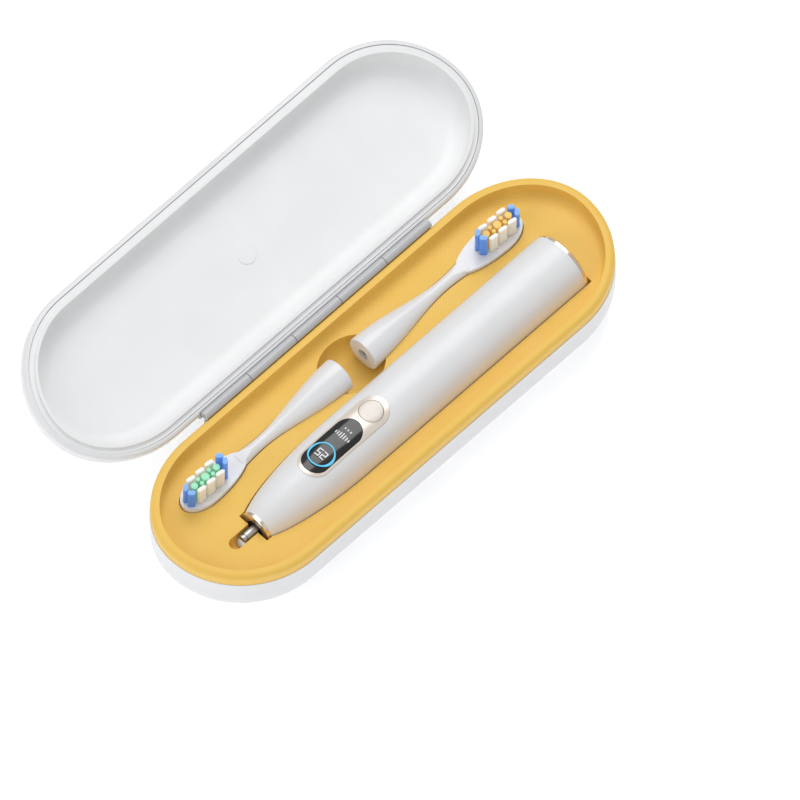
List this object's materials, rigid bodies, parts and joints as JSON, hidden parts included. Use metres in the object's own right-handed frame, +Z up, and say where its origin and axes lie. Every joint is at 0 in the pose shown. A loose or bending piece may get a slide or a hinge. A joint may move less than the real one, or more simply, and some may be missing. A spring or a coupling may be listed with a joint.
{
  "type": "electric toothbrush travel case",
  "caption": "Hinged oval travel case with a fitted tray that holds an electric toothbrush handle and two push-on brush heads.",
  "frame": {"origin": "centre of the case's flat underside, on the surface it stands on", "axes": "+X along the case towards the handle's end cap, +Y towards the hinge, +Z up"},
  "size_m": [0.235, 0.1485, 0.0543],
  "materials": {
    "case_white": "satin white moulded shell",
    "liner_white": "satin white liner",
    "tray_yellow": "soft matte yellow",
    "hinge_white": "glossy white hinge",
    "steel": "brushed",
    "magnet_steel": "plated",
    "handle_white": "satin white",
    "champagne": "satin champagne",
    "screen_black": "gloss tinted window",
    "display": "matt panel",
    "seal_black": "matt",
    "chassis_grey": "matt",
    "board_green": "solder mask",
    "cell_wrap": "shrink sleeve",
    "copper": "wound wire",
    "head_white": "gloss white",
    "bristle_white": "cut filament",
    "bristle_blue": "cut filament",
    "bristle_mint": "cut filament",
    "bristle_yellow": "cut filament"
  },
  "bodies": {
    "case_base": {"base_shell": "case_white", "tray_insert": "tray_yellow", "base_magnets": "magnet_steel", "hinge_leaf_base": "hinge_white", "hinge_pin": "steel"},
    "lid": {"lid_shell": "case_white", "lid_liner": "liner_white", "lid_magnets": "magnet_steel", "hinge_leaf_lid": "hinge_white"},
    "handle": {"handle_housing": "handle_white", "bezel_frame": "champagne", "screen_window": "screen_black", "display_module": "display", "neck_ring": "champagne", "neck_seal": "seal_black", "motor_housing": "steel", "shaft_bearings": "steel", "inner_chassis": "chassis_grey", "main_board": "board_green", "chassis_screws": "steel", "tact_switch": "seal_black", "battery_cell": "cell_wrap", "battery_tabs": "steel", "charging_coil": "copper", "end_cap": "handle_white", "end_cap_ring": "champagne", "end_cap_oring": "seal_black"},
    "drive": {"drive_shaft": "steel", "rotor": "steel"},
    "button": {"power_button": "champagne"},
    "head_a": {"head_a_body": "head_white", "head_a_socket": "steel", "head_a_base_ring": "head_white", "head_a_white_tufts": "bristle_white", "head_a_blue_tufts": "bristle_blue", "head_a_centre_tufts": "bristle_mint"},
    "head_b": {"head_b_body": "head_white", "head_b_socket": "steel", "head_b_base_ring": "head_white", "head_b_white_tufts": "bristle_white", "head_b_blue_tufts": "bristle_blue", "head_b_centre_tufts": "bristle_yellow"}
  },
  "joints": [
    {"name": "lid_hinge", "type": "hinge", "parent": "case_base", "child": "lid", "pos_m": [0, 0.0384, 0.02915], "axis": [1, 0, 0], "range_deg": [0, 160]},
    {"name": "handle_lift", "type": "slide", "parent": "case_base", "child": "handle", "axis": [0, 0, 1], "range_m": [0, 0.06]},
    {"name": "head_a_lift", "type": "slide", "parent": "case_base", "child": "head_a", "axis": [0, 0, 1], "range_m": [0, 0.06]},
    {"name": "head_b_lift", "type": "slide", "parent": "case_base", "child": "head_b", "axis": [0, 0, 1], "range_m": [0, 0.06]},
    {"name": "power_button_press", "type": "slide", "parent": "handle", "child": "button", "axis": [0, 0, -1], "range_m": [0, 0.0005], "stiffness_N_per_m": 400, "springref_m": -0.002},
    {"name": "drive_shaft_swing", "type": "hinge", "parent": "handle", "child": "drive", "pos_m": [0, -0.0093, 0.0203], "axis": [1, 0, 0], "range_deg": [-5, 5], "stiffness_Nm_per_rad": 0.5}
  ]
}
